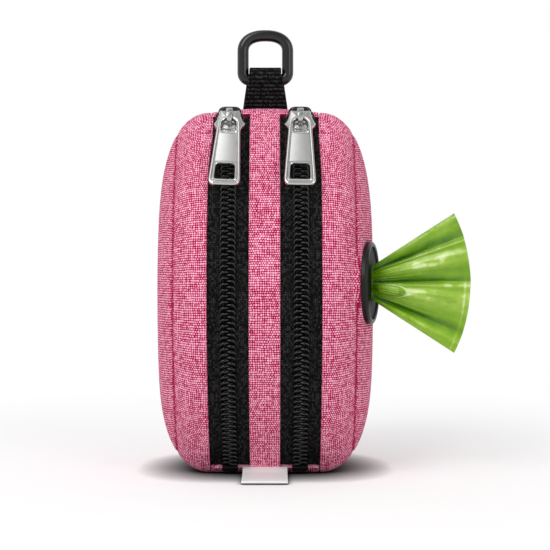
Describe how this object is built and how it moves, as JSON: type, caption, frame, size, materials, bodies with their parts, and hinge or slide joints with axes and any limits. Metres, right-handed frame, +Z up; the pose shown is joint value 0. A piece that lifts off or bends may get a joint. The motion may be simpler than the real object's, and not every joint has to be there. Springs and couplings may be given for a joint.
{
  "type": "dog poop bag dispenser",
  "caption": "Zipped hard pouch with two compartments that dispenses bags from a roll through a side outlet, with a hanging ring on top.",
  "frame": {"origin": "middle of the flat bottom that the pouch stands on, halfway between front and back", "axes": "+X to the right seen from the zip side, +Y away from the zip side towards the spine, +Z up"},
  "size_m": [0.1077, 0.0733, 0.1545],
  "materials": {
    "pink_cloth": "heathered woven cloth over moulded foam",
    "lining": "plain knitted lining",
    "zip_tape": "herringbone woven tape",
    "zip_coil": "satin nylon",
    "slider_metal": "satin plated zinc with polished edges",
    "webbing": "ribbed woven webbing",
    "ring_plastic": "satin moulded plastic",
    "ribbon": "ribbed white ribbon",
    "grommet_plastic": "satin moulded plastic",
    "disc_rubber": "soft matt rubber",
    "film": "thin glossy film",
    "card": "plain card"
  },
  "bodies": {
    "centre": {"centre_band": "pink_cloth", "rear_gusset": "pink_cloth", "divider_panel": "lining", "left_inner_tape": "zip_tape", "right_inner_tape": "zip_tape", "left_inner_coil": "zip_coil", "right_inner_coil": "zip_coil", "label_tab": "ribbon"},
    "left_shell": {"left_shell": "pink_cloth", "left_outer_tape": "zip_tape", "left_outer_coil": "zip_coil"},
    "right_shell": {"right_shell": "pink_cloth", "right_outer_tape": "zip_tape", "right_outer_coil": "zip_coil", "grommet_flange": "grommet_plastic", "grommet_disc": "disc_rubber", "grommet_clamp": "grommet_plastic"},
    "left_slider": {"left_slider": "slider_metal", "left_bridge": "slider_metal"},
    "right_slider": {"right_slider": "slider_metal", "right_bridge": "slider_metal"},
    "left_pull": {"left_pull": "slider_metal"},
    "right_pull": {"right_pull": "slider_metal"},
    "webbing": {"webbing_loop": "webbing"},
    "ring": {"ring": "ring_plastic"},
    "roll": {"bag_roll": "film", "roll_core": "card"},
    "lead_bag": {"lead_bag": "film"}
  },
  "joints": [
    {"name": "left_shell_opening", "type": "hinge", "parent": "centre", "child": "left_shell", "pos_m": [-0.01858, 0.036, 0.06285], "axis": [0, 0, -1], "range_deg": [0, 25]},
    {"name": "left_slider_run", "type": "hinge", "parent": "centre", "child": "left_slider", "pos_m": [-0.01195, 0.054, 0.06285], "axis": [1, 0, 0], "range_deg": [0, 73], "deforming": ["left_inner_tape", "left_outer_tape", "left_inner_coil", "left_outer_coil", "label_tab"]},
    {"name": "left_pull_swing", "type": "hinge", "parent": "left_slider", "child": "left_pull", "pos_m": [-0.01195, -0.01965, 0.12103], "axis": [-1, 0, 0], "range_deg": [0, 150]},
    {"name": "right_shell_opening", "type": "hinge", "parent": "centre", "child": "right_shell", "pos_m": [0.01858, 0.036, 0.06285], "axis": [0, 0, 1], "range_deg": [0, 25]},
    {"name": "right_slider_run", "type": "hinge", "parent": "centre", "child": "right_slider", "pos_m": [0.01195, 0.054, 0.06285], "axis": [1, 0, 0], "range_deg": [0, 73], "deforming": ["right_inner_tape", "right_outer_tape", "right_inner_coil", "right_outer_coil", "label_tab"]},
    {"name": "right_pull_swing", "type": "hinge", "parent": "right_slider", "child": "right_pull", "pos_m": [0.01195, -0.01965, 0.12103], "axis": [-1, 0, 0], "range_deg": [0, 150]},
    {"name": "webbing_bend", "type": "hinge", "parent": "centre", "child": "webbing", "pos_m": [0, 0, 0.12795], "axis": [-1, 0, 0], "range_deg": [-35, 35], "stiffness_Nm_per_rad": 0.004},
    {"name": "ring_swing", "type": "hinge", "parent": "webbing", "child": "ring", "pos_m": [0, 0, 0.1368], "axis": [-1, 0, 0], "range_deg": [-70, 70]},
    {"name": "roll_spin", "type": "hinge", "parent": "right_shell", "child": "roll", "pos_m": [0.0155, 0, 0.038], "axis": [0, 0, 1], "range_deg": [0, 35.2]},
    {"name": "bag_pull", "type": "slide", "parent": "right_shell", "child": "lead_bag", "axis": [0.9724, -0.2334, 0], "range_m": [0, 0.008]}
  ],
  "couplings": [
    {"joint": "left_slider_run", "follows": "left_shell_opening", "ratio": 2.92},
    {"joint": "right_slider_run", "follows": "right_shell_opening", "ratio": 2.92},
    {"joint": "bag_pull", "follows": "roll_spin", "m_per_rad": 0.013}
  ]
}
